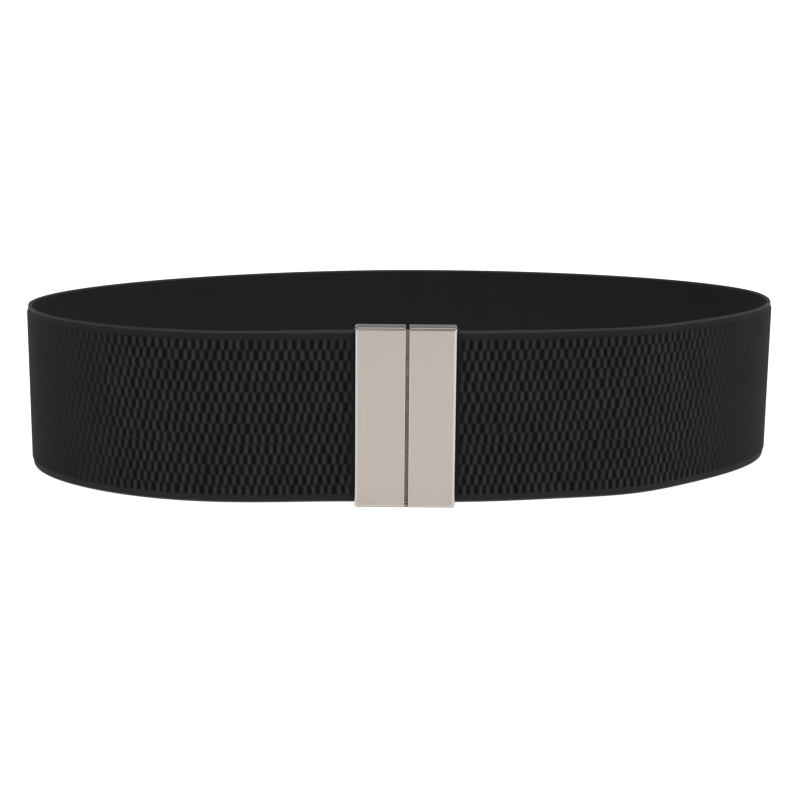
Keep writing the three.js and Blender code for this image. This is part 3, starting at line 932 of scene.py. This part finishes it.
def tongue_material(finish):
    """Rolled steel strip, duller than the plates, and darker as a painted shade where it shows through the
    joint.
    """
    material, tree, shader = new_material("belt_tongue_steel", {"Metallic": 1.0})
    grain = place_grain(tree, 1.6)
    dark, pale = ([tone * value for value in finish.tongue_colour] for tone in (0.9, 1.05))
    colour = mix_colours(tree, grain["Cloud"], dark, pale)
    roughness = rescale(tree, grain["Rubbed"], 0.0, 1.0, 0.34, 0.46)
    connect_surface(tree, shader, colour, roughness, grain["Height"], **TONGUE_GRAIN)
    return material


class BELT_OT_elastic_band(bpy.types.Operator):
    """Makes the woven band with its selvages, folds and tails"""

    bl_idname = "belt.elastic_band"
    bl_label = "Elastic band"

    def execute(self, context):
        scene = context.scene
        strip = BandStrip(scene.belt_band, scene.belt_buckle)
        stations = WeaveStations(strip, scene.belt_buckle)
        shell, slots, strip_map, ridge = band_shell(strip, stations)
        finish = scene.belt_finish
        # The woven field gets the painted shade colour for its hollows
        field = {**FIELD_YARNS, "hollow": finish.hollow_shade_colour}
        materials = [
            cloth_material("belt_woven_field", finish, finish.float_colour, **field),
            cloth_material("belt_plain_weave", finish, finish.plain_colour, **SELVAGE_YARNS),
            # The rims: a painted highlight in a lighter colour, with a real gloss and lower roughness
            cloth_material("belt_rubbed_rim", finish, finish.rim_highlight_colour, **RIM_YARNS),
        ]
        band = new_piece("woven_band", shell, materials, slots, strip_map, ridge)
        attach(band, "root")
        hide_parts("elastic_band")
        return {"FINISHED"}


class BELT_OT_stitches(bpy.types.Operator):
    """Sews each tail down with two rows, seen inside and sunk in the weave of the face"""

    bl_idname = "belt.stitches"
    bl_label = "Stitches"

    def execute(self, context):
        scene = context.scene
        band = scene.belt_band
        strip = BandStrip(band, scene.belt_buckle)
        distances = (band.tail_closing + SEAM_INSET, band.tail_length - SEAM_INSET)
        finish = scene.belt_finish
        thread = {**THREAD_YARNS, "find_place": object_place}
        material = cloth_material("belt_thread", finish, finish.thread_colour, **thread)
        for side, tail_bar, face_bar, way in (
            ("right", strip.marks[1], strip.marks[2], 1),
            ("left", strip.marks[4], strip.marks[3], -1),
        ):
            rows = []
            for distance in distances:
                rows += stitch_row(strip, tail_bar - way * distance, band.thickness / 2)
                rows += stitch_row(strip, face_bar + way * distance, band.thickness / 2 - FRONT_SINK)
            piece = new_piece(side + "_tail_stitches", joined(*rows), [material])
            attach(piece, "root")
        return {"FINISHED"}


# Tabs of the lower walls that close the joint behind the faces
TAB_DEPTH = 2.4 * MM
TAB_GAP = 0.06 * MM
TAB_INSET = 0.02 * MM
TAB_RADIUS = 0.1 * MM

STUD_HEIGHTS = (0.22, 0.78)  # shares of the height between the end walls
SHARP_ANGLE = math.radians(35)


class BELT_OT_plates(bpy.types.Operator):
    """Casts the two plates with their bars, ribs and studs"""

    bl_idname = "belt.plates"
    bl_label = "Cast plates"

    def execute(self, context):
        scene = context.scene
        buckle = scene.belt_buckle
        strip = BandStrip(scene.belt_band, buckle)
        material = plate_material(scene.belt_finish)
        rib_front = LEFT_BOX[0][1] + buckle.face_wall
        rib_y = (rib_front - BURIED, rib_front + buckle.rib_depth)
        rib_z = (buckle.end_wall - BURIED, LEFT_BOX[1][2] - buckle.end_wall + BURIED)
        seat_left = TONGUE_BOX[0][0] + CLEARANCE
        seat_right = min(seat_left + buckle.seat_rib_width, LEFT_BOX[1][0])
        catch_right = TONGUE_BOX[1][0] - buckle.tongue_thickness - CLEARANCE
        slot_height = LEFT_BOX[1][2] - 2 * buckle.end_wall

        left = [rounded_block((seat_left, seat_right), rib_y, rib_z)]
        for share in STUD_HEIGHTS:
            height = buckle.end_wall + share * slot_height
            head = TONGUE_BOX[1][1] + CLEARANCE
            left.append(stud((seat_left + seat_right) / 2, height, rib_front, head, buckle))
        right = [rounded_block((catch_right - buckle.catch_rib_width, catch_right), rib_y, rib_z)]
        steel = tongue_material(scene.belt_finish)
        tab_y = (rib_front - BURIED, rib_front + TAB_DEPTH)
        reach = (RIGHT_BOX[0][0] - LEFT_BOX[1][0] - TAB_GAP) / 2
        left_tab = (LEFT_BOX[1][0] - BURIED, LEFT_BOX[1][0] + reach)
        right_tab = (RIGHT_BOX[0][0] - reach, RIGHT_BOX[0][0] + BURIED)
        for node, box, bar_angle, inside, tab_x in (
            ("left_plate", LEFT_BOX, strip.left_bar, left, left_tab),
            ("right_plate", RIGHT_BOX, strip.right_bar, right, right_tab),
        ):
            bar_z = (box[0][2] + buckle.end_wall - BURIED, box[1][2] - buckle.end_wall + BURIED)
            bar_place = strip.bar_middle(np.array(bar_angle))
            bar = upright_bar(bar_place, round_section(buckle.bar_radius), *bar_z)
            cast = joined(plate_shell(box, node == "left_plate", buckle), bar, *inside)
            tab = rounded_block(tab_x, tab_y, (TAB_INSET, buckle.end_wall - TAB_INSET), TAB_RADIUS)
            # The tabs take the dark tongue steel instead of nickel: a painted shade at the foot of the
            # joint
            slots = [0] * len(cast[1]) + [1] * len(tab[1])
            shell = joined(cast, tab)
            piece = new_piece(node + "_cast", shell, [material, steel], slots, sharp_angle=SHARP_ANGLE)
            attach(piece, "root")
            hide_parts(node)
        return {"FINISHED"}


class BELT_OT_tongue(bpy.types.Operator):
    """Gives the clasp tongue its rolled steel"""

    bl_idname = "belt.tongue"
    bl_label = "Clasp tongue"

    def execute(self, context):
        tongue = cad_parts["clasp_tongue"]
        material = bpy.data.materials["belt_tongue_steel"]
        for slot in tongue.material_slots:
            slot.material = material
        return {"FINISHED"}


# Soft square lights: name, then side and place in metres
SOFT_LIGHTS = (
    ("overhead", 0.9, (0.15, -0.1, 1.1)),
    ("front", 1.0, (-0.5, -1.3, 0.9)),
    ("left", 0.8, (-1.2, -0.35, 0.35)),
    ("right", 0.8, (1.2, -0.35, 0.35)),
)
LIT_POINT = (0.0, 0.0, 0.03)
SKY_HEIGHTS = (0.02, 0.16)  # where the light begins to fall above the horizon, and where it has fallen
WHITE = (1.0, 1.0, 1.0)
FLOOR_TONES = (0.94, 0.96)
SENSOR_WIDTH = 36.0
NEAREST_SEEN = 0.01


def soft_light(name, power, size, place):
    """A square area light that looks at the lit point."""
    data = bpy.data.lights.new(name, "AREA")
    data.energy = power
    data.size = size
    light = bpy.data.objects.new(name, data)
    way = np.array(LIT_POINT) - np.array(place)
    flat = math.hypot(way[0], way[1])
    light.location = place
    light.rotation_euler = (math.atan2(flat, -way[2]), 0.0, math.atan2(way[1], way[0]) - math.pi / 2)
    bpy.context.scene.collection.objects.link(light)


def floor_material(glow):
    """A pale, even floor that gives some light of its own, as a lit studio sweep does."""
    values = {"Roughness": 0.9, "Specular IOR Level": 0.1, "Emission Color": WHITE}
    material, tree, shader = new_material("belt_floor", {**values, "Emission Strength": glow})
    patches = noise(tree, object_place(tree), FLOOR_PATCHES)
    colour = mix_colours(tree, patches, *([tone] * 3 for tone in FLOOR_TONES))
    feed(tree, shader.inputs["Base Color"], colour)
    return material


def studio_sky(stage):
    """Light from the horizon down, and less from above it: the strength follows the height of the
    way that a ray goes. The backdrop itself is white all over."""
    world = bpy.data.worlds.new("belt_sky")
    world.use_nodes = True
    tree = world.node_tree
    ray = add_node(tree, "ShaderNodeTexCoord").outputs["Generated"]
    height = add_node(tree, "ShaderNodeSeparateXYZ", {0: ray}).outputs["Z"]
    strength = rescale(tree, height, *SKY_HEIGHTS, stage.horizon_strength, stage.sky_strength)
    seen = add_node(tree, "ShaderNodeLightPath").outputs["Is Camera Ray"]
    background = tree.nodes["Background"].inputs
    feed(tree, background["Color"], WHITE)
    feed(tree, background["Strength"], calculate(tree, "MAXIMUM", strength, seen))
    return world


class BELT_OT_stage(bpy.types.Operator):
    """Sets the floor, the soft light and the camera"""

    bl_idname = "belt.stage"
    bl_label = "Stage"

    def execute(self, context):
        scene = context.scene
        stage = scene.belt_stage
        corners = np.array([(-1, -1, 0), (1, -1, 0), (1, 1, 0), (-1, 1, 0)]) * stage.floor_size / 2
        square = (corners, [np.array([[0, 1, 2, 3]])])
        floor = new_piece("floor", square, [floor_material(stage.floor_glow)])

        scene.world = studio_sky(stage)
        for name, size, place in SOFT_LIGHTS:
            soft_light(name + "_light", getattr(stage, name + "_power"), size, place)

        data = bpy.data.cameras.new("camera")
        data.lens = stage.lens
        data.sensor_width = SENSOR_WIDTH
        data.clip_start = NEAREST_SEEN
        camera = bpy.data.objects.new("camera", data)
        look = Matrix.Rotation(math.pi / 2 - stage.camera_pitch, 4, "X")
        camera.matrix_world = (
            Matrix.Translation(stage.camera_place) @ look @ Matrix.Rotation(stage.camera_roll, 4, "Z")
        )
        scene.collection.objects.link(camera)
        scene.camera = camera
        scene.view_settings.view_transform = "Standard"
        return {"FINISHED"}


class BELT_PT_panel(bpy.types.Panel):
    """Sizes, finishes and the steps that build the belt"""

    bl_idname = "BELT_PT_panel"
    bl_label = "Elastic stretch belt"
    bl_space_type = "VIEW_3D"
    bl_region_type = "UI"
    bl_category = "Belt"

    def draw(self, context):
        for owner in ("belt_band", "belt_buckle", "belt_finish", "belt_stage"):
            settings = getattr(context.scene, owner)
            column = self.layout.column(align=True)
            for name in settings.__annotations__:
                column.prop(settings, name)
        for operator in OPERATORS:
            self.layout.operator(operator.bl_idname)


OPERATORS = (
    BELT_OT_elastic_band,
    BELT_OT_stitches,
    BELT_OT_plates,
    BELT_OT_tongue,
    BELT_OT_stage,
)
SETTINGS = (
    ("belt_band", BandSettings),
    ("belt_buckle", BuckleSettings),
    ("belt_finish", FinishSettings),
    ("belt_stage", StageSettings),
)


def register():
    for name, settings in SETTINGS:
        bpy.utils.register_class(settings)
        setattr(bpy.types.Scene, name, bpy.props.PointerProperty(type=settings))
    for made in (*OPERATORS, BELT_PT_panel):
        bpy.utils.register_class(made)


def unregister():
    for made in reversed((*OPERATORS, BELT_PT_panel)):
        bpy.utils.unregister_class(made)
    for name, settings in reversed(SETTINGS):
        delattr(bpy.types.Scene, name)
        bpy.utils.unregister_class(settings)


def main():
    """Builds the belt and its stage."""
    register()
    bpy.ops.belt.elastic_band()
    bpy.ops.belt.stitches()
    bpy.ops.belt.plates()
    bpy.ops.belt.tongue()
    bpy.ops.belt.stage()


if __name__ == "__main__":
    main()
